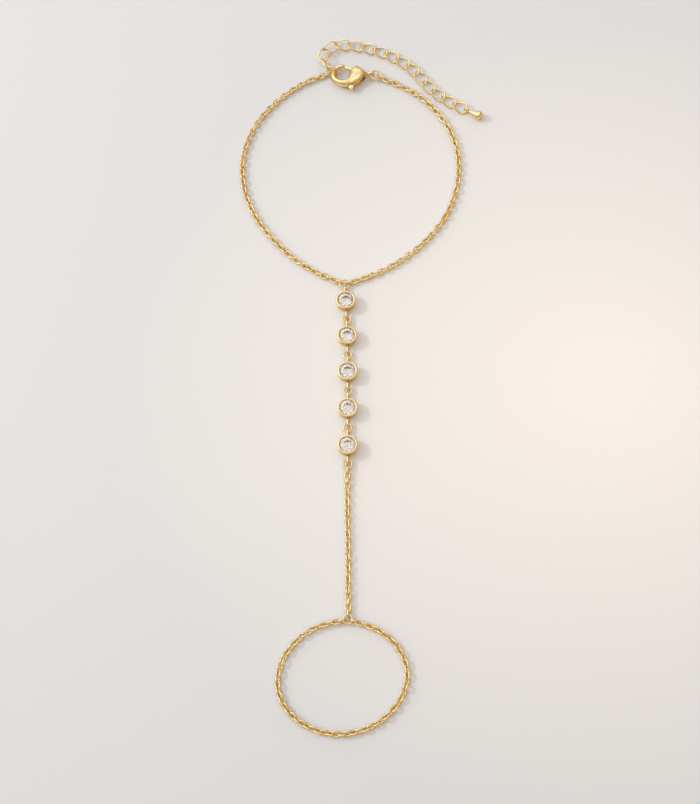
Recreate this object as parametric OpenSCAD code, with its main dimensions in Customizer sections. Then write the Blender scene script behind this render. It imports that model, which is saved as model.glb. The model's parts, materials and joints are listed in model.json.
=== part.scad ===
// Hand chain bracelet laid flat on z = 0: a wrist chain with a claw clasp and an extender,
// a row of stones in bezels, a hand chain and a finger loop. Millimetres, +Z up.
// The wrist lies towards +Y and the finger towards -Y.

/* [Cable chain] */
// Wire of the cable links
chain_wire = 0.37; // [0.33:0.01:0.38]
// Outside length of a cable link, before it is fitted to its stretch
chain_link_l = 2.14; // [2.12:0.01:2.6]
// Outside width of a cable link
chain_link_w = 1.52; // [1.5:0.01:1.6]
// Clearance left between two pieces that hang in each other
play = 0.18; // [0.16:0.01:0.19]

/* [Jump rings] */
// Wire of the small rings along the middle
ring_wire = 0.4; // [0.34:0.02:0.42]
// Outside diameter of the centre ring, where both wrist chains meet
centre_ring_d = 2.5; // [2.4:0.1:3]
// Outside diameter of the rings between the bezels
bezel_ring_d = 2.2; // [2.1:0.1:2.8]
// Outside diameter of the ring below the last bezel
lower_ring_d = 2.35; // [2.2:0.05:3]
// Outside diameter of the ring that closes the finger chain
finger_ring_d = 2.3; // [2.3:0.1:3]
// Wire of the clasp ring and the end ring
clasp_ring_wire = 0.42; // [0.38:0.01:0.43]
// Outside diameter of the ring on the clasp's tail
clasp_ring_d = 2.9; // [2.7:0.1:3.3]
// Outside diameter of the ring held in the clasp's jaw
end_ring_d = 2.9; // [2.8:0.05:3.1]

/* [Bezels] */
// Outside diameter of a bezel's rim
bezel_d = 4.4; // [4.3:0.1:5]
// Height of a bezel, from its flat back to its rim
bezel_h = 2.3; // [2.2:0.05:2.6]
// Width of the rim round the stone
rim_w = 0.5; // [0.46:0.02:0.54]
// Diameter of the flat back
bezel_back_d = 3.95; // [3.75:0.05:4.1]
// Depth of the groove between the wall and the rim
groove_in = 0.14; // [0.08:0.02:0.16]
// Height of that groove
groove_h = 0.4; // [0.3:0.05:0.45]
// Outside length of a bezel's loop, part of it inside the wall
bezel_loop_l = 2.25; // [2.2:0.05:2.8]
// Outside width of a bezel's loop, which stands upright
bezel_loop_w = 1.5; // [1.46:0.01:1.56]

/* [Stones] */
// Girdle diameter of a stone
stone_d = 3.52; // [3.48:0.02:3.54]
// Depth of the pavilion below the girdle
pavilion_depth = 1.44; // [1.2:0.02:1.5]
// Height of the crown above the girdle
crown_h = 0.45; // [0.4:0.02:0.5]
// Share of the girdle diameter that the table takes
table_share = 0.55; // [0.5:0.01:0.6]
// Gap between a stone and its bezel
stone_gap = 0.06; // [0.05:0.01:0.08]

/* [Clasp] */
// Length of the clasp, from the jaw's end to the tail loop's end
clasp_l = 10.5; // [10:0.1:11]
// Width of the claw, from the tip's back to the underside
clasp_w = 5.95; // [5.8:0.05:6.1]
// Thickness of the claw at its thickest
clasp_h = 2.6; // [2.5:0.05:2.8]
// Thickness of the lever
lever_t = 0.8; // [0.7:0.05:0.9]
// Gap between the lever and the slot it turns in
lever_gap = 0.1; // [0.08:0.01:0.12]
// Diameter of the lever's pin
pin_d = 0.7; // [0.6:0.05:0.8]
// Radial clearance of the lever on its pin
pin_clearance = 0.05; // [0.03:0.01:0.08]
// Angle that the lever opens
lever_open = 26; // [20:1:28]
// Wire of the tail loop
tail_wire = 0.52; // [0.46:0.02:0.54]
// Outside diameter of the tail loop
tail_loop_d = 1.96; // [1.9:0.02:2.1]

/* [Extender] */
// Wire of the extender's links
ext_wire = 0.37; // [0.34:0.01:0.38]
// Outside width of an extender link
ext_link_w = 3.3; // [3.25:0.05:3.4]
// Length of the drop without its loop
drop_l = 3.5; // [2.8:0.1:4.5]
// Diameter of the drop's bulb
drop_d = 2.1; // [1.7:0.1:2.2]
// Outside diameter of the drop's loop
drop_loop_d = 1.6; // [1.5:0.05:1.8]
// Wire of the drop's loop
drop_wire = 0.36; // [0.3:0.02:0.4]

/* [Hidden] */
// The routes' few chosen points, x and y from the ring where each route starts
wrist_left_route = [[-7.1, 3.4], [-12.6, 7.4], [-17.3, 12.4], [-21, 17.9], [-23.3, 24.1],
    [-24, 30.6], [-22.9, 37.1], [-20, 43.2], [-15.8, 48.3], [-10.4, 52.6]];
wrist_right_route = [[7.5, 2.9], [13.3, 6.4], [18.4, 10.9], [22.6, 16.2], [25.3, 22.2],
    [26.6, 28.7], [26.2, 35.4], [24, 41.7], [20, 47.1], [14.9, 51.4]];
hand_route = [[-0.1, -8], [0.1, -20], [0.1, -33.7]];
finger_route = [[6.2, -2.2], [10.4, -6], [12.2, -11.1], [10.8, -16.1], [7.4, -20.1], [2.7, -22.6],
    [-2.6, -23.3], [-7.8, -22], [-12, -18.9], [-14.3, -14.3], [-13.8, -9.2], [-10.9, -4.7], [-6.3, -1.5]];
extender_route = [[-1.5, 3.5], [-0.2, 6], [2.3, 7.1], [5.4, 7], [9.6, 6.3], [13.9, 4.8], [17.9, 2.5],
    [21.1, -0.4], [23.6, -4], [26.5, -6.9], [29.5, -9], [32.6, -10.8]];
row_headings = [-87, -88.5, -90, -90, -90];
wrist_closing = [-3.3, 54.1];
clasp_heading = 3.6;
clasp_ring_heading = -3;
route_steps = 8;

// Names and counts
bezel_count = len(row_headings);
extender_count = 15;
function numbered(name, count) = [for (i = [1 : count]) str(name, "_", i)];

// Finish
gold = "#d9a93f";
crystal = [0.93, 0.93, 0.94, 0.8];
smooth = 48;
round_wire = 24;

// Directions and routes
function toward(heading, r) = r * [cos(heading), sin(heading)];
function flat(p) = [p.x, p.y];
function at_height(p, z) = [p.x, p.y, z];
function last(v) = v[len(v) - 1];
function unit(v) = v / norm(v);
function bend(a, b, c, d, t) =
    (2 * b + (c - a) * t + (2 * a - 5 * b + 4 * c - d) * t ^ 2 + (3 * b - a - 3 * c + d) * t ^ 3) / 2;
function smooth_route(p) = let (n = len(p) - 1)
    [for (i = [0 : n - 1], j = [0 : route_steps - 1])
        bend(p[max(i - 1, 0)], p[i], p[i + 1], p[min(i + 2, n)], j / route_steps), p[n]];
function run_lengths(p) =
    [for (i = 0, s = 0; i < len(p); s = i + 1 < len(p) ? s + norm(p[i + 1] - p[i]) : s, i = i + 1) s];

// A stretch of chain hangs between two knots and has equal links; its count is odd where
// both end links have to stand the same way
function odd_count(length, pitch) = 2 * round((length / pitch - 1) / 2) + 1;
function knots_of(route, start, end, pitch, count = 0) =
    let (p = smooth_route(route), s = run_lengths(p), run = last(s) - start - end,
        n = count > 0 ? count : odd_count(run, pitch),
        x = [for (i = [0 : len(p) - 1]) [s[i], p[i].x]],
        y = [for (i = [0 : len(p) - 1]) [s[i], p[i].y]])
    [for (k = [0 : n]) let (d = start + run * k / n) [lookup(d, x), lookup(d, y)]];

// How far from a ring's centre, and past a wire, the first knot lies
function reach(ring_d, wire) = ring_d / 2 - wire - play / 2;
function past(from, to, wire) = to + unit(to - from) * (wire + play) / 2;

// Cable chain
chain_pitch = chain_link_l - 2 * chain_wire - play;
chain_arc = (chain_link_w - chain_wire) / 2;
rest_roll = 45;
sway = 12;
sway_step = 50;
settling_links = 6;
function settling(i) = max(0, 1 - i / settling_links);
function roll_at(i, n, first, end) =
    rest_roll + (first - rest_roll) * settling(i) + (end - rest_roll) * settling(n - 1 - i)
    + sway * sin(sway_step * i) * (1 - settling(i)) * (1 - settling(n - 1 - i));
function lie_height(roll) = chain_arc * max(abs(sin(roll)), abs(cos(roll))) + chain_wire / 2;
upright = 90;
link_z = lie_height(upright);
ring_lift = 0.04;
ring_z = link_z + ring_lift;
chain_half = lie_height(rest_roll);

// Bezels: the loops are sunk in the wall, and the rings hang in the loops
loop_lift = 0.03;
loop_z = bezel_loop_w / 2 + loop_lift;
rim_land = 0.35;
rim_slope = 0.33;
wall_r_at_loop = bezel_back_d / 2
    + (bezel_d - bezel_back_d) / 2 * loop_z / (bezel_h - rim_land);
loop_sunk = 0.16;
loop_end = wall_r_at_loop - loop_sunk + bezel_loop_l;
loop_mid = loop_end - bezel_loop_l / 2;
hang = loop_end - 1.5 * ring_wire - play;
lower_slack = 0.3;
function ring_reach(ring_d) = hang + (ring_d - ring_wire) / 2;
function row_ring_d(i) = i == 0 ? centre_ring_d : i < bezel_count ? bezel_ring_d : lower_ring_d;
function row_ring_at(i) = i == 0 ? [0, 0]
    : bezel_at(i - 1) + toward(row_headings[i - 1],
        ring_reach(row_ring_d(i)) - (i == bezel_count ? lower_slack : 0));
function bezel_at(i) = row_ring_at(i) + toward(row_headings[i], ring_reach(row_ring_d(i)));
lower_ring_at = row_ring_at(bezel_count);

// Stones
girdle_t = 0.07;
table_lift = 0.04;
table_z = bezel_h + table_lift;
girdle_z = table_z - crown_h;
culet_z = girdle_z - girdle_t - pavilion_depth;
lip_r = bezel_d / 2 - rim_w;

// Clasp, in its own directions: u from the jaw's end to the tail, v towards the tip's back
clasp_mid = clasp_h / 2;
function clasp_point(u, v) = wrist_closing + toward(clasp_heading, u) + toward(clasp_heading + 90, v);
// Columns: u / length, v / width, width / width, thickness / thickness, facing in degrees
SECTION_U = 0;
SECTION_V = 1;
SECTION_W = 2;
SECTION_H = 3;
SECTION_FACING = 4;
clasp_sections = [
    [0.331, 0.484, 0.050, 0.15, 186],
    [0.322, 0.484, 0.105, 0.30, 186],
    [0.296, 0.486, 0.138, 0.40, 184],
    [0.238, 0.482, 0.155, 0.44, 187],
    [0.167, 0.450, 0.160, 0.44, 205],
    [0.105, 0.370, 0.160, 0.42, 228],
    [0.062, 0.252, 0.158, 0.41, 247],
    [0.046, 0.100, 0.164, 0.47, 268],
    [0.065, -0.059, 0.175, 0.60, 294],
    [0.124, -0.193, 0.193, 0.69, 318],
    [0.214, -0.282, 0.218, 0.77, 340],
    [0.314, -0.300, 0.270, 0.84, 358],
    [0.400, -0.262, 0.350, 0.90, 365],
    [0.452, -0.165, 0.530, 0.95, 368],
    [0.505, -0.037, 0.714, 0.99, 365],
    [0.562, 0.034, 0.756, 1.00, 360],
    [0.619, 0.067, 0.706, 0.99, 360],
    [0.676, 0.072, 0.580, 0.92, 360],
    [0.733, 0.064, 0.412, 0.78, 360],
    [0.781, 0.055, 0.244, 0.58, 360],
    [0.814, 0.055, 0.143, 0.42, 360],
    [0.843, 0.055, 0.100, 0.30, 360]];
section_sides = 16;
section_power = 2.5;
tail_u = clasp_l - tail_loop_d / 2;
tail_v = last(clasp_sections)[SECTION_V] * clasp_w;
pivot_u = 0.571 * clasp_l;
pivot_v = 0.218 * clasp_w;
// The lever's outline, as shares of the clasp's length and width from its pin
gate_outline = [[-0.222, 0.255], [-0.250, 0.151], [-0.085, 0.055], [-0.010, -0.130], [0.048, 0.010],
    [-0.035, 0.106]];
tab_outline = [[-0.062, -0.020], [-0.182, -0.690], [-0.076, -0.790], [0.056, 0.010]];
tab_end = [-0.125, -0.732];
hub_d = 1.5;
tab_end_d = 1.2;
gate_heading = 155;
gate_half = 0.46;
gate_slot_l = 0.19 * clasp_l;
tab_heading = 253;
tab_half = 0.62;
tab_slot_l = 0.84 * clasp_w;
slot_t = lever_t + 2 * lever_gap;

// Clasp ring: it hangs in the tail loop and slopes down to the chain
tail_hang = tail_loop_d / 2 - tail_wire - play - clasp_ring_wire / 2;
clasp_ring_r = (clasp_ring_d - clasp_ring_wire) / 2;
tail_at = clasp_point(tail_u, tail_v);
clasp_ring_sag = 0.06;
clasp_ring_high = clasp_mid - clasp_ring_sag;
clasp_ring_tilt = asin((clasp_ring_high - ring_z) / (2 * clasp_ring_r));
clasp_ring_at = tail_at + toward(clasp_heading, tail_hang)
    + toward(clasp_ring_heading, clasp_ring_r * cos(clasp_ring_tilt));

// End ring: it goes round the claw's arm and leans over; places on it are angles from its outer side
arm = clasp_sections[6];
arm_out = clasp_heading + arm[SECTION_FACING] - 90;
end_ring_lean = 30;
end_ring_r = (end_ring_d - clasp_ring_wire) / 2;
end_ring_out = 0.28;
end_ring_at = at_height(clasp_point(arm[SECTION_U] * clasp_l, arm[SECTION_V] * clasp_w)
    + toward(arm_out, end_ring_out), clasp_mid);
function on_end_ring(angle) = end_ring_at
    + end_ring_r * (cos(angle) * at_height(toward(arm_out, 1), 0)
        + sin(angle) * at_height(toward(arm_out - 90, sin(end_ring_lean)), cos(end_ring_lean)));
chain_angle = -44;
extender_angle = 27;
chain_on_end_ring = flat(on_end_ring(chain_angle));
extender_on_end_ring = on_end_ring(extender_angle);
end_link_roll = 129;

// Knots of the four cable chains
wrist_left_knots = let (to = chain_on_end_ring, far = last(wrist_left_route))
    knots_of(concat([[0, 0]], wrist_left_route, [past(far, to, clasp_ring_wire)]),
        reach(centre_ring_d, ring_wire), 0, chain_pitch);
wrist_right_knots = knots_of(concat([[0, 0]], wrist_right_route, [clasp_ring_at]),
    reach(centre_ring_d, ring_wire), reach(clasp_ring_d, clasp_ring_wire), chain_pitch);
finger_ring_at = lower_ring_at + last(hand_route);
hand_knots = knots_of([for (p = concat([[0, 0]], hand_route)) lower_ring_at + p],
    reach(lower_ring_d, ring_wire), reach(finger_ring_d, ring_wire), chain_pitch);
finger_knots = knots_of([for (p = concat([[0, 0]], finger_route, [[0, 0]])) finger_ring_at + p],
    reach(finger_ring_d, ring_wire), reach(finger_ring_d, ring_wire), chain_pitch);

// Extender: its links lie nearly flat and lean to either side in turn, the first ones steeper
ext_arc = (ext_link_w - ext_wire) / 2;
ext_rest_roll = 22;
first_ext_roll = 60;
steep_links = 5;
slope_room = 0.03;
function ext_roll(i) = ext_rest_roll + (first_ext_roll - ext_rest_roll) * max(0, 1 - i / steep_links);
function ext_lie(i) = ext_arc * sin(ext_roll(i)) + ext_wire / 2 + slope_room;
ext_z = ext_lie(extender_count);
ext_knots = let (from = flat(extender_on_end_ring))
    knots_of([for (p = concat([-unit(extender_route[0]) * (clasp_ring_wire + play) / 2],
        extender_route)) from + p], 0, 0, 1, extender_count);
function ext_knot(k) =
    at_height(ext_knots[k], k == 0 ? extender_on_end_ring.z : (ext_lie(k - 1) + ext_lie(k)) / 2);

// Drop
drop_loop_r = (drop_loop_d - drop_wire) / 2;
drop_heading = -29;
drop_z = max(ext_z, drop_loop_d / 2 + slope_room);
drop_at = at_height(last(ext_knots)
    + toward(drop_heading, drop_loop_r - drop_wire / 2 - play / 2), drop_z);
drop_rise = asin((drop_d / 2 - drop_z) / (drop_l * 0.7));
drop_tip = flat(drop_at) + toward(drop_heading, drop_loop_r + drop_l);

// The origin is the middle of the whole outline on the floor
left_side = min([for (p = wrist_left_knots) p.x]) - chain_half;
right_side = drop_tip.x;
near_side = min([for (p = finger_knots) p.y]) - chain_half;
far_side = max([for (p = ext_knots) p.y]) + ext_link_w / 2;
origin = -[left_side + right_side, near_side + far_side, 0] / 2;
module in_place() translate(origin) children();

// A closed ring of round wire, flat, with its middle at the origin
module wire_ring(d, wire) {
    rotate_extrude($fn = smooth) translate([(d - wire) / 2, 0]) circle(d = wire, $fn = round_wire);
}

// An oval link of round wire along X, flat, with its middle at the origin. Its straight is
// rounded, so that the ends of the arcs meet it exactly.
micron = 0.001;
module link(l, w, wire) {
    arc_r = (w - wire) / 2;
    straight = 2 * micron * round((l - w) / 2 / micron);
    for (side = [-1, 1]) {
        translate([side * straight / 2, 0, 0]) rotate([0, 0, -90 * side])
            rotate_extrude(angle = 180, $fn = smooth) translate([arc_r, 0])
                circle(d = wire, $fn = round_wire);
        translate([-straight / 2, side * arc_r, 0]) rotate([0, 90, 0])
            cylinder(d = wire, h = straight, $fn = round_wire);
    }
}

// A link that hangs between two knots, rolled about its own length
module link_between(a, b, roll, w, wire) {
    run = b - a;
    translate((a + b) / 2) rotate([0, 0, atan2(run.y, run.x)])
        rotate([0, -atan2(run.z, norm(flat(run))), 0]) rotate([roll, 0, 0])
            link(norm(run) + 2 * wire + play, w, wire);
}

module cable_chain(knots, first, end) {
    n = len(knots) - 1;
    color(gold) in_place() for (i = [0 : n - 1]) {
        roll = roll_at(i, n, first, end);
        z = lie_height(roll);
        link_between(at_height(knots[i], z), at_height(knots[i + 1], z),
            roll + (i % 2) * upright, chain_link_w, chain_wire);
    }
}

module wrist_chain_left() cable_chain(wrist_left_knots, upright, end_link_roll);
module wrist_chain_right() cable_chain(wrist_right_knots, upright, upright);
module hand_chain() cable_chain(hand_knots, upright, upright);
module finger_chain() cable_chain(finger_knots, upright, upright);

module flat_ring(at, d) {
    color(gold) in_place() translate(at_height(at, ring_z)) wire_ring(d, ring_wire);
}
module centre_ring() flat_ring([0, 0], centre_ring_d);
module bezel_ring(i) flat_ring(row_ring_at(i), bezel_ring_d);
module lower_ring() flat_ring(lower_ring_at, lower_ring_d);
module finger_ring() flat_ring(finger_ring_at, finger_ring_d);

module clasp_ring() {
    color(gold) in_place()
        translate(at_height(clasp_ring_at, (clasp_ring_high + ring_z) / 2))
            rotate([0, 0, clasp_ring_heading]) rotate([0, clasp_ring_tilt, 0])
                wire_ring(clasp_ring_d, clasp_ring_wire);
}

module end_ring() {
    color(gold) in_place() translate(end_ring_at) rotate([0, 0, arm_out])
        rotate([90 + end_ring_lean, 0, 0]) wire_ring(end_ring_d, clasp_ring_wire);
}

// A cup with a rolled rim, a seat that follows the stone, and a loop at each side
module bezel(i) {
    outer = bezel_d / 2;
    seat_r = stone_d / 2 + stone_gap;
    seat_z = girdle_z - girdle_t - stone_gap;
    lip_z = girdle_z + stone_gap + crown_h * (stone_d / 2 - lip_r) / (stone_d * (1 - table_share) / 2);
    rim_top = (outer - lip_r) * 0.35;
    groove_z = bezel_h - rim_land - rim_slope - groove_h;
    groove_edge = bezel_back_d / 2 + (outer - bezel_back_d / 2) * groove_z / (bezel_h - rim_land);
    floor_z = culet_z - stone_gap;
    pit_r = 0.25;
    color(gold) in_place() translate(at_height(bezel_at(i), 0)) rotate([0, 0, row_headings[i]]) {
        rotate_extrude($fn = smooth) polygon([[0, 0], [bezel_back_d / 2, 0], [groove_edge, groove_z],
            [groove_edge - groove_in, groove_z], [groove_edge - groove_in, groove_z + groove_h],
            [outer, bezel_h - rim_land], [outer, bezel_h - rim_top], [outer - rim_top, bezel_h],
            [lip_r + rim_top / 2, bezel_h], [lip_r, bezel_h - rim_top / 2], [lip_r, lip_z],
            [seat_r, lip_z], [seat_r, seat_z], [pit_r, floor_z], [0, floor_z]]);
        for (side = [-1, 1]) translate([side * loop_mid, 0, loop_z]) rotate([upright, 0, 0])
            link(bezel_loop_l, bezel_loop_w, ring_wire);
    }
}

// Round brilliant: table, stars, kites and halves above the girdle, mains and halves below
function facet_ring(r, z, n, turn) =
    [for (k = [0 : n - 1]) [r * cos((k + turn) * 360 / n), r * sin((k + turn) * 360 / n), z]];
module stone(i) {
    r = stone_d / 2;
    table_r = r * table_share;
    star_r = r * 0.8;
    lower_r = r * 0.3;
    half_step = cos(22.5);
    star_z = table_z - crown_h * (star_r * half_step - table_r) / (r - table_r);
    lower_z = culet_z + pavilion_depth * lower_r * half_step / r;
    points = concat(facet_ring(table_r, table_z, 8, 0), facet_ring(star_r, star_z, 8, 0.5),
        facet_ring(r, girdle_z, 16, 0), facet_ring(r, girdle_z - girdle_t, 16, 0),
        facet_ring(lower_r, lower_z, 8, 0.5), [[0, 0, culet_z]]);
    star = 8;
    crown_edge = 16;
    pavilion_edge = 32;
    lower = 48;
    culet = 56;
    faces = concat([[for (k = [7 : -1 : 0]) k]],
        [for (k = [0 : 7]) let (n = (k + 1) % 8) [k, n, star + k]],
        [for (k = [0 : 7]) let (b = (k + 7) % 8) [k, star + k, crown_edge + 2 * k, star + b]],
        [for (k = [0 : 7]) [star + k, crown_edge + 2 * k + 1, crown_edge + 2 * k]],
        [for (k = [0 : 7]) [star + k, crown_edge + (2 * k + 2) % 16, crown_edge + 2 * k + 1]],
        [for (k = [0 : 15]) let (n = (k + 1) % 16)
            [crown_edge + k, crown_edge + n, pavilion_edge + n, pavilion_edge + k]],
        [for (k = [0 : 7]) [lower + k, pavilion_edge + 2 * k, pavilion_edge + 2 * k + 1]],
        [for (k = [0 : 7]) [lower + k, pavilion_edge + 2 * k + 1, pavilion_edge + (2 * k + 2) % 16]],
        [for (k = [0 : 7]) let (b = (k + 7) % 8) [culet, lower + b, pavilion_edge + 2 * k, lower + k]]);
    color(crystal) in_place() translate(at_height(bezel_at(i), 0)) rotate([0, 0, row_headings[i]])
        polyhedron(points, faces);
}

// The claw: rounded sections from the tip round the jaw to the neck
function section_ring(s) = let (turn = s[SECTION_FACING] + 90, w = s[SECTION_W] * clasp_w / 2,
        h = s[SECTION_H] * clasp_h / 2)
    [for (k = [0 : section_sides - 1]) let (a = 360 * k / section_sides,
            c = sign(cos(a)) * abs(cos(a)) ^ (2 / section_power) * w,
            z = sign(sin(a)) * abs(sin(a)) ^ (2 / section_power) * h)
        [s[SECTION_U] * clasp_l + c * cos(turn), s[SECTION_V] * clasp_w + c * sin(turn),
            clasp_mid + z]];
module claw() {
    n = section_sides;
    rows = len(clasp_sections);
    points = [for (s = clasp_sections) each section_ring(s)];
    faces = concat([[for (k = [0 : n - 1]) k]],
        [for (j = [0 : rows - 2], k = [0 : n - 1]) let (m = (k + 1) % n)
            [j * n + k, (j + 1) * n + k, (j + 1) * n + m, j * n + m]],
        [[for (k = [n - 1 : -1 : 0]) (rows - 1) * n + k]]);
    polyhedron(points, faces, convexity = 6);
}

// The part of the slot that an arm of the lever sweeps as it opens
module swept(heading, half, length) {
    fan = [for (a = [0 : lever_open / 4 : lever_open]) toward(heading + a, length)];
    linear_extrude(slot_t, center = true)
        polygon(concat([toward(heading - 90, half), toward(heading - 90, half) + fan[0]], fan,
            [toward(heading + lever_open + 90, half) + last(fan),
             toward(heading + lever_open + 90, half)]));
}

module in_clasp() {
    in_place() translate(at_height(wrist_closing, 0)) rotate([0, 0, clasp_heading]) children();
}
module at_pivot() translate([pivot_u, pivot_v, clasp_mid]) children();

module clasp_body() {
    color(gold) in_clasp() {
        difference() {
            claw();
            at_pivot() {
                cylinder(d = hub_d + 2 * lever_gap, h = slot_t, center = true, $fn = smooth);
                swept(gate_heading, gate_half + lever_gap, gate_slot_l);
                swept(tab_heading, tab_half + lever_gap, tab_slot_l);
            }
        }
        at_pivot() cylinder(d = pin_d, h = clasp_h * 0.7, center = true, $fn = smooth);
        translate([tail_u, tail_v, clasp_mid]) rotate([upright, 0, 0])
            wire_ring(tail_loop_d, tail_wire);
    }
}

module clasp_lever() {
    function in_lever(outline) = [for (p = outline) [p.x * clasp_l, p.y * clasp_w]];
    color(gold) in_clasp() at_pivot() difference() {
        union() {
            cylinder(d = hub_d, h = lever_t, center = true, $fn = smooth);
            linear_extrude(lever_t, center = true) polygon(in_lever(gate_outline));
            linear_extrude(lever_t, center = true) polygon(in_lever(tab_outline));
            translate([tab_end.x * clasp_l, tab_end.y * clasp_w])
                cylinder(d = tab_end_d, h = lever_t, center = true, $fn = smooth);
        }
        cylinder(d = pin_d + 2 * pin_clearance, h = slot_t, center = true, $fn = smooth);
    }
}

module extender_link(i) {
    color(gold) in_place()
        link_between(ext_knot(i), ext_knot(i + 1), i % 2 == 0 ? ext_roll(i) : -ext_roll(i),
            ext_link_w, ext_wire);
}

// A teardrop on its own upright loop, lying on its bulb
module extender_drop() {
    steps = 12;
    neck_r = drop_wire * 0.6;
    profile = [for (k = [0 : steps]) let (a = 180 * k / steps)
        [max(drop_d / 2 * sin(a) * sin(a / 2) ^ 1.3 / 0.727, k < steps ? neck_r : 0),
         drop_loop_r + drop_l * (1 - cos(a)) / 2]];
    color(gold) in_place() translate(drop_at) rotate([0, 0, drop_heading])
        rotate([0, -drop_rise, 0]) {
            rotate([upright, 0, 0]) wire_ring(drop_loop_d, drop_wire);
            rotate([0, 90, 0]) rotate_extrude($fn = smooth)
                polygon(concat([[0, drop_loop_r]], profile));
        }
}

wrist_chain_left();
wrist_chain_right();
centre_ring();
for (i = [0 : bezel_count - 1]) {
    bezel(i);
    stone(i);
}
for (i = [1 : bezel_count - 1]) bezel_ring(i);
lower_ring();
hand_chain();
finger_ring();
finger_chain();
clasp_body();
clasp_lever();
clasp_ring();
end_ring();
for (i = [0 : extender_count - 1])
    extender_link(i);
extender_drop();
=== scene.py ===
# Hand chain bracelet, dressed: polished gold plate and clear brilliant-cut stones, lying on a
# pale board under soft window-like light. Metres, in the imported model's own frame.
import json
import math

import bmesh
import bpy
import numpy as np
from mathutils import Matrix, Vector


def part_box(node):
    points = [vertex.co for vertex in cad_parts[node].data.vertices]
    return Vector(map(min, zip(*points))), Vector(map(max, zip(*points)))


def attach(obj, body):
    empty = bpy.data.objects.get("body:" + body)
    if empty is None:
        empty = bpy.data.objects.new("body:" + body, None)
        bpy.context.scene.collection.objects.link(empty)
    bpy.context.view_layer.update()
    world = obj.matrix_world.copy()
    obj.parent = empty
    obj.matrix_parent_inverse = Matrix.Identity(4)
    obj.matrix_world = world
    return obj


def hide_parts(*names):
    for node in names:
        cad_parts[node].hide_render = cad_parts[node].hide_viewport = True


MM = 0.001
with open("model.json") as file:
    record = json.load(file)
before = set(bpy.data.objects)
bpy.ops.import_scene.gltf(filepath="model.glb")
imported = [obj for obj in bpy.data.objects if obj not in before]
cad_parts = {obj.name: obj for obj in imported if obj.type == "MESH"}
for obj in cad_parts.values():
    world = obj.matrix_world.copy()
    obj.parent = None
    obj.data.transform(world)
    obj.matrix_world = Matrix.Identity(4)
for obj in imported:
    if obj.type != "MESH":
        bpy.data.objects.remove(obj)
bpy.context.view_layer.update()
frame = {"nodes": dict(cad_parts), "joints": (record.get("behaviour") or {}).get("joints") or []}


def new_object(name, data):
    thing = bpy.data.objects.new(name, data)
    bpy.context.scene.collection.objects.link(thing)
    return thing


# ---------------------------------------------------------------- camera
# The photograph looks down on the bench from the finger's side, 70 degrees above it.
PHOTO_W, PHOTO_H = 700, 804
CAMERA_ELEVATION = math.radians(70)
CAMERA_DISTANCE = 304.3 * MM
FOCAL_PX = 1383
CENTRE_RING_FROM_PICTURE_CENTRE = Vector((-1.22, 28.09, 0)) * MM


def middle(node):
    low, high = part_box(node)
    return (low + high) / 2


def place_camera():
    ring = middle("centre_ring")
    target = Vector((ring.x, ring.y, 0)) - CENTRE_RING_FROM_PICTURE_CENTRE
    back = Vector((0, -math.cos(CAMERA_ELEVATION), math.sin(CAMERA_ELEVATION)))
    data = bpy.data.cameras.new("photo_camera")
    data.lens = data.sensor_width * FOCAL_PX / max(PHOTO_W, PHOTO_H)
    data.clip_start = 0.01
    camera = new_object("photo_camera", data)
    camera.location = target + back * CAMERA_DISTANCE
    camera.rotation_euler = back.to_track_quat("Z", "Y").to_euler()
    bpy.context.scene.camera = camera
    return target


picture_centre = place_camera()


# ---------------------------------------------------------------- materials
def linear(hex_colour):
    """sRGB hex to Blender's linear colour, opaque."""
    parts = [int(hex_colour[i : i + 2], 16) / 255 for i in (1, 3, 5)]
    return (*(c / 12.92 if c <= 0.04045 else ((c + 0.055) / 1.055) ** 2.4 for c in parts), 1.0)


def waves(size_mm):
    """Noise scale that gives features about size_mm across on Object coordinates in metres."""
    return 1 / (size_mm * MM)


def add(tree, kind, links=None, **settings):
    """Adds a node. A setting named like a socket is that socket's value, any other one is a
    property of the node, and links gives each linked socket its source."""
    node = tree.nodes.new(kind)
    for name, value in settings.items():
        if name in node.inputs:
            node.inputs[name].default_value = value
        else:
            setattr(node, name, value)
    for socket, source in (links or {}).items():
        tree.links.new(source, node.inputs[socket])
    return node


def new_material(name):
    material = bpy.data.materials.new(name)
    material.use_nodes = True
    tree = material.node_tree
    tree.nodes.clear()
    output = add(tree, "ShaderNodeOutputMaterial")
    return material, tree, output


# The ends of a Map Range node
RANGE_ENDS = ("From Min", "From Max", "To Min", "To Max")
# The middle part of a noise, over which the plate's tone and its gloss change
TONE_SPREAD = (0.32, 0.68)
GLOSS_SPREAD = (0.3, 0.7)
RIPPLE_DEPTH = 0.012 * MM
PALE_GOLD = "#fce8b7"
DEEP_GOLD = "#f5d694"
GRAZING_GOLD = "#ebc78f"


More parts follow.
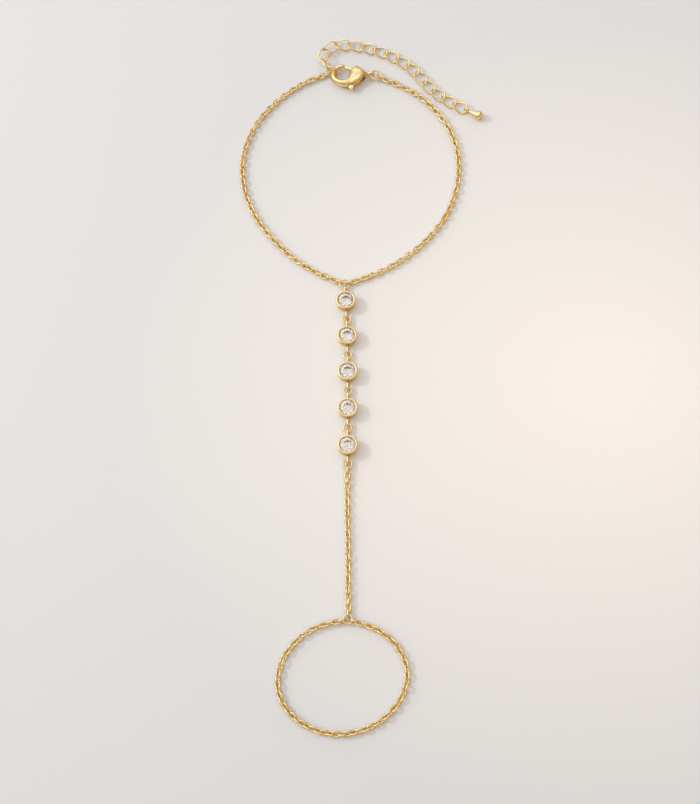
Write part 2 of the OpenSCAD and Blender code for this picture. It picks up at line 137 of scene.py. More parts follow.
def gold_plate(name, pale, deep, rough_low, rough_high, ripple_mm):
    """Gold plate over brass, tumble polished: a pale yellow mirror whose gloss wanders a little
    where the tumbling media touched less, over the faint ripple of drawn and cast metal."""
    material, tree, output = new_material(name)
    place = add(tree, "ShaderNodeTexCoord").outputs["Object"]
    plating = add(tree, "ShaderNodeTexNoise", {"Vector": place}, Scale=waves(1.6), Detail=3.0, Roughness=0.55)
    rub = add(tree, "ShaderNodeTexNoise", {"Vector": place}, Scale=waves(0.5), Detail=2.0, Roughness=0.6)
    ripple = add(tree, "ShaderNodeTexNoise", {"Vector": place}, Scale=waves(ripple_mm), Detail=2.0,
                 Roughness=0.5)
    tone = add(tree, "ShaderNodeValToRGB", {"Fac": plating.outputs["Fac"]})
    thin, thick = tone.color_ramp.elements
    thin.position, thin.color = TONE_SPREAD[0], linear(deep)
    thick.position, thick.color = TONE_SPREAD[1], linear(pale)
    gloss = add(tree, "ShaderNodeMapRange", {"Value": rub.outputs["Fac"]},
                **dict(zip(RANGE_ENDS, (*GLOSS_SPREAD, rough_low, rough_high))))
    bump = add(tree, "ShaderNodeBump", {"Height": ripple.outputs["Fac"]}, Strength=0.3, Distance=RIPPLE_DEPTH)
    shader = add(tree, "ShaderNodeBsdfPrincipled",
                 {"Base Color": tone.outputs["Color"], "Roughness": gloss.outputs["Result"],
                  "Normal": bump.outputs["Normal"]}, Metallic=1.0)
    shader.inputs["Specular Tint"].default_value = linear(GRAZING_GOLD)
    tree.links.new(shader.outputs["BSDF"], output.inputs["Surface"])
    return material


# Matched to the photograph: an index above the real 2.16, and the share that haze doesn't scatter
STONE_INDEX = 2.3
STONE_CLEAR_SHARE = 0.94
# The noise's range, and the roughness between which the gloss wanders
STONE_GLOSS = (0.0, 1.0, 0.02, 0.07)


def cubic_zirconia():
    """Cubic zirconia, cut and polished: clear, with bright sharp facets between softened darks."""
    material, tree, output = new_material("cubic_zirconia_polished")
    place = add(tree, "ShaderNodeTexCoord").outputs["Object"]
    lap = add(tree, "ShaderNodeTexNoise", {"Vector": place}, Scale=waves(0.3), Detail=2.0, Roughness=0.5)
    gloss = add(tree, "ShaderNodeMapRange", {"Value": lap.outputs["Fac"]},
                **dict(zip(RANGE_ENDS, STONE_GLOSS)))
    shader = add(tree, "ShaderNodeBsdfPrincipled", {"Roughness": gloss.outputs["Result"]},
                 IOR=STONE_INDEX)
    shader.inputs["Base Color"].default_value = linear("#fcf2ec")
    shader.inputs["Transmission Weight"].default_value = STONE_CLEAR_SHARE
    tree.links.new(shader.outputs["BSDF"], output.inputs["Surface"])
    return material


# Where the painted shade towards the near edge ends and starts along Y, and the brightness there
PAINTED_NEAR_EDGE_SHADE = (-95 * MM, -30 * MM, 0.955, 1.0)
# The middle of the painted pool of warm light, from the picture's centre, and how far it reaches
PAINTED_GLOW_PLACE = Vector((60, 5, 0)) * MM
PAINTED_GLOW_REACH = Vector((115, 95, 95)) * MM


def painted_board(centre):
    """Matt painted board: a greyish white sheet, with a painted pool of light that makes it a little brighter
    and warmer to the right, and painted shade that makes it a little darker towards its near edge."""
    material, tree, output = new_material("matt_painted_board")
    place = add(tree, "ShaderNodeTexCoord").outputs["Object"]
    # A painted pool of warm light, brightest at its middle
    glow = add(tree, "ShaderNodeMapping", {"Vector": place}, vector_type="TEXTURE")
    glow.inputs["Location"].default_value = centre + PAINTED_GLOW_PLACE
    glow.inputs["Scale"].default_value = PAINTED_GLOW_REACH
    painted_light_pool = add(tree, "ShaderNodeTexGradient", {"Vector": glow.outputs["Vector"]},
                     gradient_type="SPHERICAL")
    tone = add(tree, "ShaderNodeValToRGB", {"Fac": painted_light_pool.outputs["Fac"]})
    # Painted shade, a little darker towards the near edge
    along = add(tree, "ShaderNodeSeparateXYZ", {"Vector": place})
    near_edge = add(tree, "ShaderNodeMapRange", {"Value": along.outputs["Y"]},
                    **dict(zip(RANGE_ENDS, PAINTED_NEAR_EDGE_SHADE)))
    shaded = add(tree, "ShaderNodeHueSaturation",
                 {"Color": tone.outputs["Color"], "Value": near_edge.outputs["Result"]})
    grey, warm = tone.color_ramp.elements
    grey.position, grey.color = 0.0, linear("#dadbde")
    warm.position, warm.color = 0.9, linear("#f3efec")
    grain = add(tree, "ShaderNodeTexNoise", {"Vector": place}, Scale=waves(0.6), Detail=3.0, Roughness=0.6)
    bump = add(tree, "ShaderNodeBump", {"Height": grain.outputs["Fac"]}, Strength=0.1, Distance=0.01 * MM)
    shader = add(tree, "ShaderNodeBsdfPrincipled",
                 {"Base Color": shaded.outputs["Color"], "Normal": bump.outputs["Normal"]}, Roughness=0.65)
    tree.links.new(shader.outputs["BSDF"], output.inputs["Surface"])
    return material


# Name, pale and deep tone, lowest and highest roughness, and the ripple's size in millimetres
drawn_gold = gold_plate("gold_plate_on_drawn_wire", PALE_GOLD, DEEP_GOLD, 0.17, 0.27, 0.35)
cast_gold = gold_plate("gold_plate_on_cast_brass", PALE_GOLD, DEEP_GOLD, 0.09, 0.18, 0.9)
turned_gold = gold_plate("gold_plate_on_turned_bezel", PALE_GOLD, DEEP_GOLD, 0.08, 0.16, 0.7)
# The bottom of the groove, which the polishing mop misses, is duller than the rim; its darker, browner colour
# is painted shade
groove_gold_with_painted_shade = gold_plate("gold_plate_dull_with_painted_shade_in_the_groove", "#8a6530", "#6b4b20", 0.24, 0.34, 0.7)
# Foil in the seat, under the stone: a pale silver mirror that is seen through the stone
seat_foil = gold_plate("silver_foil_in_the_seat", "#f6f3ef", "#e9e4dd", 0.2, 0.3, 0.6)
stone_clear = cubic_zirconia()


# ---------------------------------------------------------------- making pieces
def mesh_of(bm, name):
    mesh = bpy.data.meshes.new(name)
    bm.to_mesh(mesh)
    bm.free()
    return mesh


def finish_piece(bm, name, material, body, nodes):
    """Turns a bmesh into a piece that rides on its body and stands for its CAD nodes."""
    bmesh.ops.remove_doubles(bm, verts=bm.verts, dist=1e-7)
    bmesh.ops.recalc_face_normals(bm, faces=bm.faces)
    mesh = mesh_of(bm, name)
    mesh.materials.append(material)
    for face in mesh.polygons:
        face.use_smooth = True
    piece = new_object(name, mesh)
    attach(piece, body)
    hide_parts(*nodes)
    return piece


def loose_parts(node):
    """Vertex places of each loose solid of a CAD node, read from a copy of its mesh."""
    bm = bmesh.new()
    bm.from_mesh(frame["nodes"][node].data)
    bmesh.ops.remove_doubles(bm, verts=bm.verts, dist=2e-6)
    bm.verts.ensure_lookup_table()
    seen = set()
    parts = []
    for start in bm.verts:
        if start.index in seen:
            continue
        seen.add(start.index)
        group, queue = [], [start]
        while queue:
            vert = queue.pop()
            group.append(vert.co[:])
            for edge in vert.link_edges:
                other = edge.other_vert(vert)
                if other.index not in seen:
                    seen.add(other.index)
                    queue.append(other)
        parts.append(np.array(group))
    bm.free()
    return parts


def lie_of(points):
    """A flat or long solid's own directions: longest first, shortest last, with its middle and size."""
    spread = points - points.mean(0)
    _, axes = np.linalg.eigh(spread.T @ spread)
    axes = axes[:, ::-1]
    along = points @ axes
    low, high = along.min(0), along.max(0)
    if np.linalg.det(axes) < 0:
        axes[:, 2] *= -1
        low[2], high[2] = -high[2], -low[2]
    centre = axes @ ((low + high) / 2)
    turn = Matrix([list(row) for row in axes]).to_4x4()
    return Matrix.Translation(Vector(centre)) @ turn, Vector(high - low)


def wire_section(bm, place, wire, sides):
    """A round wire's section as a ring of vertices, its plane turned to face along Y."""
    turn = Matrix.Translation(Vector(place)) @ Matrix.Rotation(math.pi / 2, 4, "X")
    return bmesh.ops.create_circle(bm, cap_ends=False, segments=sides, radius=wire / 2, matrix=turn)["verts"]


def edges_round(section):
    """The edges that join a section's vertices."""
    return list({edge for vert in section for edge in vert.link_edges})


def full_turn(bm, geometry, axis, steps):
    """Sweeps geometry once round an axis through the origin and closes it."""
    bmesh.ops.spin(bm, geom=geometry, cent=(0, 0, 0), axis=axis, angle=2 * math.pi, steps=steps,
                   use_merge=True, use_duplicate=False)


def turn_profile(bm, profile, axis, steps):
    """Adds a shape as a lathe would turn it, from the points of its profile."""
    corners = [bm.verts.new(point) for point in profile]
    edges = [bm.edges.new(pair) for pair in zip(corners, corners[1:])]
    full_turn(bm, corners + edges, axis, steps)


def spin_wire(bm, edges, centre, angle, steps):
    return bmesh.ops.spin(bm, geom=edges, cent=centre, axis=(0, 0, 1), angle=angle, steps=steps,
                          use_merge=False, use_duplicate=False)["geom_last"]


def edges_of(geometry):
    return [g for g in geometry if isinstance(g, bmesh.types.BMEdge)]


def oval_link(length, width, wire, sides, arc_steps, straight_steps=1):
    """One link of round wire along X, bent round two ends, its joint closed by solder."""
    bm = bmesh.new()
    arc = (width - wire) / 2
    half = (length - width) / 2
    section = wire_section(bm, (half, -arc, 0), wire, sides)
    bmesh.ops.rotate(bm, verts=section, cent=(half, -arc, 0), matrix=Matrix.Rotation(math.pi / 2, 3, "Z"))
    ring = edges_of(spin_wire(bm, edges_round(section), (half, 0, 0), math.pi, arc_steps))
    run = run_wire(bm, ring, (-2 * half, 0, 0), straight_steps)
    ring = edges_of(spin_wire(bm, edges_of_ring(run, -half), (-half, 0, 0), math.pi, arc_steps))
    run_wire(bm, ring, (2 * half, 0, 0), straight_steps)
    bmesh.ops.remove_doubles(bm, verts=bm.verts, dist=1e-7)
    return mesh_of(bm, "oval_link")


def run_wire(bm, ring, way, steps):
    """Carries a ring of edges on in a straight line and returns the last new geometry."""
    for _ in range(steps):
        run = bmesh.ops.extrude_edge_only(bm, edges=ring)["geom"]
        moved = [g for g in run if isinstance(g, bmesh.types.BMVert)]
        bmesh.ops.translate(bm, verts=moved, vec=Vector(way) / steps)
        ring = [e for e in edges_of(run) if all(v in moved for v in e.verts)]
    return run


def edges_of_ring(geometry, x):
    """The edges among new geometry that lie in the plane at x."""
    return [e for e in edges_of(geometry) if all(abs(v.co.x - x) < 1e-7 for v in e.verts)]


def stamp(bm, mesh, placement):
    """Adds a copy of a mesh to the bmesh at a placement."""
    copy = mesh.copy()
    copy.transform(placement)
    bm.from_mesh(copy)
    bpy.data.meshes.remove(copy)


CHAIN_WIRE = 0.41 * MM


def dress_chain(node):
    """Redraws every link of a chain in round wire, with a light mesh, in the lie of its CAD solid."""
    bm = bmesh.new()
    link = None
    for points in loose_parts(node):
        placement, size = lie_of(points)
        if link is None:
            link = oval_link(size.x, size.y, CHAIN_WIRE, sides=8, arc_steps=4)
        stamp(bm, link, placement)
    bpy.data.meshes.remove(link)
    finish_piece(bm, "links_of_" + node, drawn_gold, "bracelet", [node])


for chain in ("wrist_chain_left", "wrist_chain_right", "hand_chain", "finger_chain"):
    dress_chain(chain)


EXTENDER_WIRE = 0.4 * MM
EXTENDER_LINKS = [f"extender_link_{number}" for number in range(1, 16)]
EXTENDER_WIDTH = 3.0 * MM
# How much more each link leans than the one before it, until the twist fills its height
LEAN_STEP = math.radians(3)
END_TWIST = math.radians(25)
SECOND_LINK_TWIST = math.radians(30)
# The share of a link's length over which it twists
TWISTED_SHARE = 0.6
STEP_DOWN = 0.05 * MM


def dress_extender():
    """The extender's links are twisted a little, as they are made, so that each lies in the next
    and all of them look alike. The first keeps the lie that the end ring gives it, and the next
    ones step down from it to the board."""
    lies = [lie_of(loose_parts(node)[0]) for node in EXTENDER_LINKS]
    middles = [placement.to_translation() for placement, _ in lies]
    lean_side = 1
    for number, (node, (placement, size)) in enumerate(zip(EXTENDER_LINKS, lies)):
        along = placement.col[0].to_3d()
        near, far = middles[max(number - 1, 0)], middles[min(number + 1, len(middles) - 1)]
        if along.dot(far - near) < 0:
            along.negate()
        across = Vector((0, 0, 1)).cross(along).normalized()
        half_width = (EXTENDER_WIDTH - EXTENDER_WIRE) / 2
        near_roll = far_roll = step_down = 0
        if number == 0:
            across = placement.col[1].to_3d() * (1 if placement.col[1].to_3d().dot(across) > 0 else -1)
            lean_side = 1 if across.z > 0 else -1
        else:
            steepness = math.asin(abs(placement.col[1].z))
            lean = min(number * LEAN_STEP, max(0, steepness - END_TWIST))
            near_roll = lean_side * (lean - (SECOND_LINK_TWIST if number == 1 else END_TWIST))
            far_roll = lean_side * (lean + END_TWIST)
            spare = half_width * (math.sin(steepness) - math.sin(lean + END_TWIST))
            step_down = min(number * STEP_DOWN, max(0, spare))
        link = oval_link(size.x, EXTENDER_WIDTH, EXTENDER_WIRE, sides=14, arc_steps=16,
                         straight_steps=3)
        bm = bmesh.new()
        stamp(bm, link, Matrix.Identity(4))
        bpy.data.meshes.remove(link)
        for vert in bm.verts:
            share = max(0, min(1, vert.co.x / (TWISTED_SHARE * size.x) + 0.5))
            roll = near_roll + (far_roll - near_roll) * share
            vert.co = Matrix.Rotation(roll, 3, "X") @ vert.co
        turn = Matrix((along, across, along.cross(across))).transposed().to_4x4()
        lowered = Matrix.Translation(middles[number] - Vector((0, 0, step_down)))
        bmesh.ops.transform(bm, matrix=lowered @ turn, verts=bm.verts)
        finish_piece(bm, node + "_wire", drawn_gold, "bracelet", [node])


dress_extender()


RING_CUT = 0.035 * MM


def dress_ring(node, wire, cut_at):
    """A jump ring: round wire bent shut, with the fine cut where its two ends meet."""
    placement, size = lie_of(loose_parts(node)[0])
    radius = (size.x - wire) / 2
    cut = RING_CUT / radius
    bm = bmesh.new()
    section = wire_section(bm, (radius, 0, 0), wire, sides=14)
    bmesh.ops.rotate(bm, verts=section, cent=(0, 0, 0), matrix=Matrix.Rotation(cut_at + cut / 2, 3, "Z"))
    start = edges_round(section)
    end = edges_of(spin_wire(bm, start, (0, 0, 0), 2 * math.pi - cut, steps=40))
    bmesh.ops.edgeloop_fill(bm, edges=start)
    bmesh.ops.edgeloop_fill(bm, edges=end)
    bmesh.ops.transform(bm, matrix=placement, verts=bm.verts)
    finish_piece(bm, node + "_wire", drawn_gold, "bracelet", [node])


SMALL_RING_WIRE = 0.4 * MM
CLASP_RING_WIRE = 0.42 * MM
# Each ring's wire, and where round the ring its cut is, in radians
RINGS = {"centre_ring": (SMALL_RING_WIRE, 0.9), "bezel_ring_1": (SMALL_RING_WIRE, 1.7),
         "bezel_ring_2": (SMALL_RING_WIRE, 3.0), "bezel_ring_3": (SMALL_RING_WIRE, 4.3),
         "bezel_ring_4": (SMALL_RING_WIRE, 5.6), "lower_ring": (SMALL_RING_WIRE, 2.6),
         "finger_ring": (SMALL_RING_WIRE, 0.3), "clasp_ring": (CLASP_RING_WIRE, 1.2),
         "end_ring": (CLASP_RING_WIRE, 2.0)}
for ring_node, (ring_wire, cut_angle) in RINGS.items():
    dress_ring(ring_node, ring_wire, cut_angle)


# ---------------------------------------------------------------- bezels and stones
# Radius and height, in millimetres: flat back, flaring wall, undercut, rolled rim and the seat inside
BEZEL_PROFILE = [(0, 0), (1.89, 0), (1.955, 0.03), (1.975, 0.1), (2.0, 0.35), (2.06, 0.85), (2.09, 1.16),
                 (2.075, 1.215), (2.02, 1.235), (1.965, 1.26), (1.95, 1.34), (1.95, 1.55), (1.99, 1.64),
                 (2.09, 1.76), (2.165, 1.87), (2.198, 1.99), (2.195, 2.09), (2.165, 2.19), (2.1, 2.265),
                 (2.0, 2.298), (1.89, 2.295), (1.8, 2.255), (1.735, 2.18), (1.71, 2.08), (1.7, 1.985),
                 (1.82, 1.96), (1.82, 1.76), (1.3, 1.28), (0.75, 0.78), (0.25, 0.32), (0, 0.32)]
# The faces with a material of their own: the bottom of the groove, with painted shade, and the seat
GROOVE_INNER, GROOVE_OUTER, GROOVE_LOW, GROOVE_HIGH = 1.9 * MM, 2.03 * MM, 1.24 * MM, 1.62 * MM
SEAT_RADIUS, SEAT_LOW, SEAT_HIGH = 1.83 * MM, 0.25 * MM, 1.965 * MM
BEZEL_LOOP_WIRE = 0.4 * MM
BEZEL_LOOP_LENGTH = 2.25 * MM
BEZEL_LOOP_WIDTH = 1.5 * MM
BEZEL_LOOP_HEIGHT = 0.78 * MM


def dress_bezel(number):
    node = f"bezel_{number}"
    low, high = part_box(node)
    centre = (low + high) / 2
    points = loose_parts(node)[0]
    run = points[:, :2] - np.array(centre[:2])
    far = run[np.argmax(np.linalg.norm(run, axis=1))]
    heading = math.atan2(far[1], far[0])
    reach = np.linalg.norm(run, axis=1).max()
    bm = bmesh.new()
    turn_profile(bm, [(r * MM, 0, z * MM) for r, z in BEZEL_PROFILE], (0, 0, 1), steps=64)
    for face in bm.faces:
        at = face.calc_center_median()
        in_groove = GROOVE_LOW < at.z < GROOVE_HIGH and GROOVE_INNER < at.xy.length < GROOVE_OUTER
        in_seat = SEAT_LOW < at.z < SEAT_HIGH and at.xy.length < SEAT_RADIUS
        # Material 1 is the groove's painted shade, 2 the seat's foil
        face.material_index = 1 if in_groove else 2 if in_seat else 0
    link = oval_link(BEZEL_LOOP_LENGTH, BEZEL_LOOP_WIDTH, BEZEL_LOOP_WIRE, sides=14, arc_steps=12)
    for side in (1, -1):
        upright = Matrix.Translation((side * (reach - BEZEL_LOOP_LENGTH / 2), 0, BEZEL_LOOP_HEIGHT))
        stamp(bm, link, upright @ Matrix.Rotation(math.pi / 2, 4, "X"))
    bpy.data.meshes.remove(link)
    turn = Matrix.Translation((centre.x, centre.y, 0)) @ Matrix.Rotation(heading, 4, "Z")
    bmesh.ops.transform(bm, matrix=turn, verts=bm.verts)
    cup = finish_piece(bm, node + "_cup", turned_gold, "bracelet", [node])
    # The groove's darker, browner gold is painted shade
    cup.data.materials.append(groove_gold_with_painted_shade)
    cup.data.materials.append(seat_foil)


for number in range(1, 6):
    dress_bezel(number)
    stone = frame["nodes"][f"stone_{number}"]
    stone.data.materials.clear()
    stone.data.materials.append(stone_clear)


# ---------------------------------------------------------------- clasp, lever and drop
CLASP_LENGTH, CLASP_WIDTH, CLASP_THICKNESS = 10.5 * MM, 5.95 * MM, 2.6 * MM
CLASP_HEADING = math.radians(3.6)
HINGE = Vector(frame["joints"][0]["pos_m"])
HINGE_IN_CLASP = Vector((0.571 * CLASP_LENGTH, 0.218 * CLASP_WIDTH, 0))
clasp_place = (Matrix.Translation(HINGE) @ Matrix.Rotation(CLASP_HEADING, 4, "Z")
               @ Matrix.Translation(-HINGE_IN_CLASP))

# From the tip round the jaw to the neck: along / length, across / width, width / width,
# thickness / thickness, facing in degrees
CLAW = [(0.331, 0.484, 0.050, 0.15, 186), (0.322, 0.484, 0.105, 0.30, 186), (0.291, 0.486, 0.150, 0.46, 184),
        (0.238, 0.482, 0.172, 0.52, 187), (0.167, 0.450, 0.168, 0.48, 205), (0.105, 0.370, 0.160, 0.42, 228),
        (0.062, 0.252, 0.158, 0.41, 247), (0.046, 0.100, 0.164, 0.47, 268), (0.065, -0.059, 0.175, 0.60, 294),
        (0.124, -0.193, 0.193, 0.69, 318), (0.214, -0.282, 0.218, 0.77, 340), (0.314, -0.300, 0.270, 0.84, 358),
        (0.400, -0.262, 0.350, 0.90, 365), (0.452, -0.165, 0.530, 0.95, 368), (0.505, -0.037, 0.714, 0.99, 365),
        (0.562, 0.034, 0.756, 1.00, 360), (0.619, 0.067, 0.706, 0.99, 360), (0.676, 0.072, 0.580, 0.92, 360),
        (0.733, 0.064, 0.412, 0.78, 360), (0.781, 0.055, 0.244, 0.58, 360), (0.814, 0.055, 0.143, 0.42, 360),
        (0.843, 0.055, 0.100, 0.30, 360)]
# A quarter of the claw's section, from its side to its top: upright wall, crisp edge, low dome
SECTION_QUARTER = [(1, 0), (1, 0.24), (0.993, 0.42), (0.955, 0.51), (0.82, 0.66), (0.6, 0.82),
                   (0.32, 0.95), (0, 1)]
SLOT_THICKNESS = 1.0 * MM
LEVER_THICKNESS = 0.84 * MM
PIN_DIAMETER = 0.7 * MM
PIN_LENGTH = 0.7 * CLASP_THICKNESS
PIN_CLEARANCE = 0.1 * MM
LEVER_EDGE = 0.12 * MM
TAIL_LOOP_D, TAIL_WIRE, TAIL_ACROSS = 1.96 * MM, 0.62 * MM, 0.055 * CLASP_WIDTH
# Edges that bend more than this stay sharp on the clasp's body and lever
SHARP_EDGE = math.radians(35)
# The slot seen from above: it opens along the underside and where the gate leaves the body
SLOT_OUTLINE = [(0.355, -0.6), (0.372, -0.45), (0.39, -0.33), (0.42, -0.15), (0.45, 0), (0.44, 0.12),
                (0.41, 0.2), (0.38, 0.6), (0.7, 0.6), (0.715, 0.25), (0.745, 0.1),
                (0.775, -0.02), (0.775, -0.6)]
# The lever in millimetres from its pin: gate bar, plate inside the slot, thumb tab
LEVER_OUTLINE = [(-2.3, 1.5), (-2.52, 1.36), (-2.62, 1.12), (-2.55, 0.88), (-1.75, 0.6), (-0.95, 0.25),
                 (-0.88, -0.5), (-1.12, -1.3), (-1.45, -2.2), (-1.78, -3.3), (-1.98, -4.1), (-1.98, -4.5),
                 (-1.82, -4.8), (-1.5, -4.95), (-1.1, -4.9), (-0.82, -4.65), (-0.7, -4.2), (-0.55, -3.45),
                 (-0.1, -3.05), (0.5, -2.72), (0.95, -2.4), (1.02, -1.3), (0.86, -0.35), (0.55, 0.42),
                 (0.1, 0.78), (-0.4, 0.8), (-1.2, 1.05)]


def between(rows, steps):
    """Rows with smooth steps between them, through every given row."""
    rows = np.array(rows, float)
    ends = np.vstack([rows[:1], rows, rows[-1:]])
    shares = np.arange(steps)[:, None] / steps
    out = []
    for a, b, c, d in zip(ends, ends[1:], ends[2:], ends[3:]):
        out.append(b + (c - a) * shares / 2 + (a - 2.5 * b + 2 * c - d / 2) * shares ** 2
                   + (1.5 * b - a / 2 - 1.5 * c + d / 2) * shares ** 3)
    return np.vstack(out + [rows[-1:]])


def claw_section(bm, row):
    """One section of the claw: a ring with upright side walls and a low dome above and below."""
    along, across, width, thickness, facing = row
    step_count = len(SECTION_QUARTER) - 1
    ring = bmesh.ops.create_circle(bm, cap_ends=False, segments=4 * step_count, radius=1)["verts"]
    turn = math.radians(facing + 90)
    for number, vert in enumerate(ring):
        quarter, step = divmod(number, step_count)
        side, up = SECTION_QUARTER[step_count - step if quarter % 2 else step]
        side *= (1 if quarter in (0, 3) else -1) * width * CLASP_WIDTH / 2
        up *= (1 if quarter < 2 else -1) * thickness * CLASP_THICKNESS / 2
        vert.co = (along * CLASP_LENGTH + side * math.cos(turn),
                   across * CLASP_WIDTH + side * math.sin(turn), up)
    return edges_round(ring)


def plate(outline, thickness):
    """A flat plate about the middle height, from its outline in metres."""
    bm = bmesh.new()
    corners = [bm.verts.new((x, y, -thickness / 2)) for x, y in outline]
    edges = [bm.edges.new(pair) for pair in zip(corners, corners[1:] + corners[:1])]
    face = bmesh.ops.contextual_create(bm, geom=edges)["faces"]
    top = bmesh.ops.extrude_face_region(bm, geom=face)["geom"]
    bmesh.ops.translate(bm, verts=[g for g in top if isinstance(g, bmesh.types.BMVert)], vec=(0, 0, thickness))
    bmesh.ops.recalc_face_normals(bm, faces=bm.faces)
    return bm


def cut_away(bm, cutter):
    """The first solid less the second one."""
    things = []
    for name, source in (("cut_from", bm), ("cut_by", cutter)):
        bmesh.ops.recalc_face_normals(source, faces=source.faces)
        things.append(new_object(name, mesh_of(source, name)))
    saw = things[0].modifiers.new("saw", "BOOLEAN")
    saw.operation, saw.solver, saw.object = "DIFFERENCE", "EXACT", things[1]
    sawn = bpy.data.meshes.new_from_object(things[0].evaluated_get(bpy.context.evaluated_depsgraph_get()))
    for thing in things:
        mesh = thing.data
        bpy.data.objects.remove(thing)
        bpy.data.meshes.remove(mesh)
    result = bmesh.new()
    result.from_mesh(sawn)
    bpy.data.meshes.remove(sawn)
    return result


def upright_ring(bm, middle_of_ring, diameter, wire):
    """Adds a closed ring of round wire that stands upright along X."""
    ring = bmesh.new()
    section = wire_section(ring, ((diameter - wire) / 2, 0, 0), wire, sides=16)
    full_turn(ring, section + edges_round(section), (0, 0, 1), steps=36)
    mesh = mesh_of(ring, "upright_ring")
    stamp(bm, mesh, Matrix.Translation(middle_of_ring) @ Matrix.Rotation(math.pi / 2, 4, "X"))
    bpy.data.meshes.remove(mesh)


def round_pin(bm, middle_of_pin, diameter, length):
    bmesh.ops.create_cone(bm, cap_ends=True, segments=32, radius1=diameter / 2, radius2=diameter / 2,
                          depth=length, matrix=Matrix.Translation(middle_of_pin))


def dress_clasp_body():
    bm = bmesh.new()
    rings = [claw_section(bm, row) for row in between(CLAW, 3)]
    for near, far in zip(rings, rings[1:]):
        bmesh.ops.bridge_loops(bm, edges=near + far)
    bmesh.ops.edgeloop_fill(bm, edges=rings[0])
    bmesh.ops.edgeloop_fill(bm, edges=rings[-1])
    slot = plate([(x * CLASP_LENGTH, y * CLASP_WIDTH) for x, y in SLOT_OUTLINE], SLOT_THICKNESS)
    bm = cut_away(bm, slot)
    round_pin(bm, HINGE_IN_CLASP, PIN_DIAMETER, PIN_LENGTH)
    upright_ring(bm, Vector((CLASP_LENGTH - TAIL_LOOP_D / 2, TAIL_ACROSS, 0)), TAIL_LOOP_D, TAIL_WIRE)
    bmesh.ops.transform(bm, matrix=clasp_place, verts=bm.verts)
    body = finish_piece(bm, "clasp_body_cast", cast_gold, "bracelet", ["clasp_body"])
    body.data.set_sharp_from_angle(angle=SHARP_EDGE)


def dress_clasp_lever():
    bm = plate([(x * MM, y * MM) for x, y in LEVER_OUTLINE], LEVER_THICKNESS)
    rims = [e for e in bm.edges if abs(e.verts[0].co.z - e.verts[1].co.z) < 1e-9]
    bmesh.ops.bevel(bm, geom=rims, offset=LEVER_EDGE, offset_type="OFFSET", segments=3, profile=0.5,
                    affect="EDGES", material=-1)
    hole = bmesh.new()
    round_pin(hole, Vector((0, 0, 0)), PIN_DIAMETER + PIN_CLEARANCE, 2 * LEVER_THICKNESS)
    bm = cut_away(bm, hole)
    bmesh.ops.transform(bm, matrix=clasp_place @ Matrix.Translation(HINGE_IN_CLASP), verts=bm.verts)
    lever = finish_piece(bm, "clasp_lever_stamped", cast_gold, "lever", ["clasp_lever"])
    lever.data.set_sharp_from_angle(angle=SHARP_EDGE)


# Radius and place along the drop, in millimetres from its loop's middle: collar, slim neck, bulb
DROP_PROFILE = [(0, 0.55), (0.2, 0.56), (0.3, 0.62), (0.33, 0.72), (0.29, 0.8), (0.32, 0.95), (0.4, 1.3),
                (0.53, 1.75), (0.7, 2.2), (0.87, 2.6), (0.99, 2.92), (1.045, 3.2), (1.03, 3.44), (0.93, 3.68),
                (0.73, 3.87), (0.42, 3.99), (0, 4.025)]
DROP_LOOP_D, DROP_WIRE = 1.6 * MM, 0.36 * MM


def dress_drop():
    node = "extender_drop"
    points = loose_parts(node)[0]
    placement, _ = lie_of(points)
    along = placement.col[0].to_3d()
    if along.dot(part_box(node)[1] - middle("extender_link_15")) < 0:
        along.negate()
    across = Vector((0, 0, 1)).cross(along).normalized()
    turn = Matrix((along, across, along.cross(across))).transposed().to_4x4()
    back = min(Vector(p).dot(along) for p in points)
    axis_at = placement.to_translation()
    loop_at = axis_at + along * (back - axis_at.dot(along) + DROP_LOOP_D / 2)
    bm = bmesh.new()
    turn_profile(bm, [(x * MM, 0, r * MM) for r, x in DROP_PROFILE], (1, 0, 0), steps=40)
    upright_ring(bm, Vector((0, 0, 0)), DROP_LOOP_D, DROP_WIRE)
    bmesh.ops.transform(bm, matrix=Matrix.Translation(loop_at) @ turn, verts=bm.verts)
    finish_piece(bm, node + "_cast", cast_gold, "bracelet", [node])


dress_clasp_body()
dress_clasp_lever()
dress_drop()


# ---------------------------------------------------------------- floor and light
BOARD_SIZE = 1.5
# The way to the window, and the small bright part of it: distance, diameter, power and colour
TOWARD_WINDOW = Vector((-2.97, 0.84, 2.3)).normalized()
WINDOW_DISTANCE, WINDOW_DIAMETER, WINDOW_WATTS, WINDOW_COLOUR = 0.6, 0.065, 0.86, "#fffdfa"
# Its wide pale part: the nearness to the window's way at which it starts and is full, and its strength
WINDOW_PANE = (0.85, 0.98, 0.0, 1.0)
PANE_COLOUR = "#fffaf2"
# The room: the way to its brightest part, the tones farthest from it, on the way and nearest to it
CEILING_BRIGHTEST = Vector((-0.35, 0.35, 0.87)).normalized()
LOWEST_WALL, HIGHEST_WALL = "#a3875d", "#ffffff"
WALL_TONES = ((0.12, "#a8946f"), (0.4, "#c0b9b1"), (0.7, "#f6f4f1"))
# Things in the room: the scale of their pattern, and the shade and light that they give
THINGS_ACROSS_ROOM = 2.6
THINGS_SHADE = (0.38, 0.62, 0.86, 1.42)


def make_floor():
    bm = bmesh.new()
    bmesh.ops.create_grid(bm, x_segments=1, y_segments=1, size=BOARD_SIZE)
    mesh = mesh_of(bm, "board")
    mesh.materials.append(painted_board(picture_centre))
    board = new_object("board", mesh)


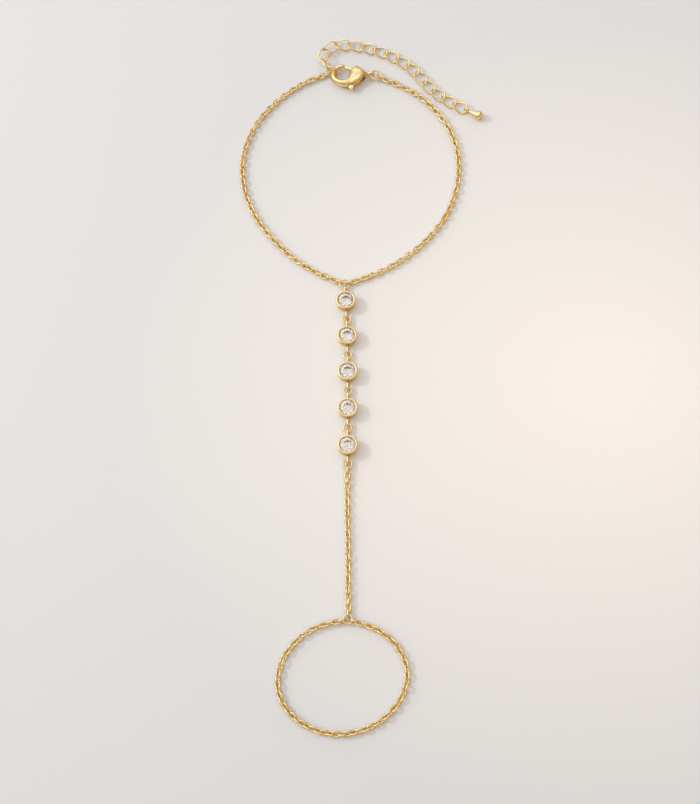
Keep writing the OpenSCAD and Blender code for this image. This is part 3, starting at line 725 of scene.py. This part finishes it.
def window_light(toward_light):
    """The small bright part of the window, which throws the shadows. Its wide pale part, which
    the gold mirrors, is in the room."""
    data = bpy.data.lights.new("window", "AREA")
    data.shape = "DISK"
    data.size = WINDOW_DIAMETER
    data.energy = WINDOW_WATTS
    data.color = linear(WINDOW_COLOUR)[:3]
    light = new_object("window", data)
    light.visible_glossy = False
    light.location = picture_centre + toward_light * WINDOW_DISTANCE
    light.rotation_euler = toward_light.to_track_quat("Z", "Y").to_euler()


def room_light(toward_light):
    """A pale room with a large window: bright above and behind, and dark low down on the near
    side, which gives the gold its dark edges."""
    world = bpy.data.worlds.new("pale_room")
    bpy.context.scene.world = world
    world.use_nodes = True
    tree = world.node_tree
    tree.nodes.clear()
    direction = add(tree, "ShaderNodeTexCoord").outputs["Generated"]
    ceiling = add(tree, "ShaderNodeVectorMath", {0: direction}, operation="DOT_PRODUCT")
    ceiling.inputs[1].default_value = CEILING_BRIGHTEST
    walls = add(tree, "ShaderNodeValToRGB", {"Fac": ceiling.outputs["Value"]})
    stops = walls.color_ramp.elements
    for place, hex_colour in WALL_TONES:
        stops.new(place).color = linear(hex_colour)
    stops[0].color = linear(LOWEST_WALL)
    stops[-1].color = linear(HIGHEST_WALL)
    nearness = add(tree, "ShaderNodeVectorMath", {0: direction}, operation="DOT_PRODUCT")
    nearness.inputs[1].default_value = toward_light
    pane = add(tree, "ShaderNodeMapRange", {"Value": nearness.outputs["Value"]},
               interpolation_type="SMOOTHSTEP", **dict(zip(RANGE_ENDS, WINDOW_PANE)))
    things = add(tree, "ShaderNodeTexNoise", {"Vector": direction}, Scale=THINGS_ACROSS_ROOM, Detail=0.0)
    shade = add(tree, "ShaderNodeMapRange", {"Value": things.outputs["Fac"]},
                interpolation_type="SMOOTHSTEP", **dict(zip(RANGE_ENDS, THINGS_SHADE)))
    room = add(tree, "ShaderNodeBackground",
               {"Color": walls.outputs["Color"], "Strength": shade.outputs["Result"]})
    window = add(tree, "ShaderNodeBackground", {"Strength": pane.outputs["Result"]},
                 Color=linear(PANE_COLOUR))
    both = add(tree, "ShaderNodeAddShader",
               {0: room.outputs["Background"], 1: window.outputs["Background"]})
    output = add(tree, "ShaderNodeOutputWorld")
    tree.links.new(both.outputs["Shader"], output.inputs["Surface"])


make_floor()
room_light(TOWARD_WINDOW)
window_light(TOWARD_WINDOW)
bpy.context.scene.view_settings.view_transform = "Standard"
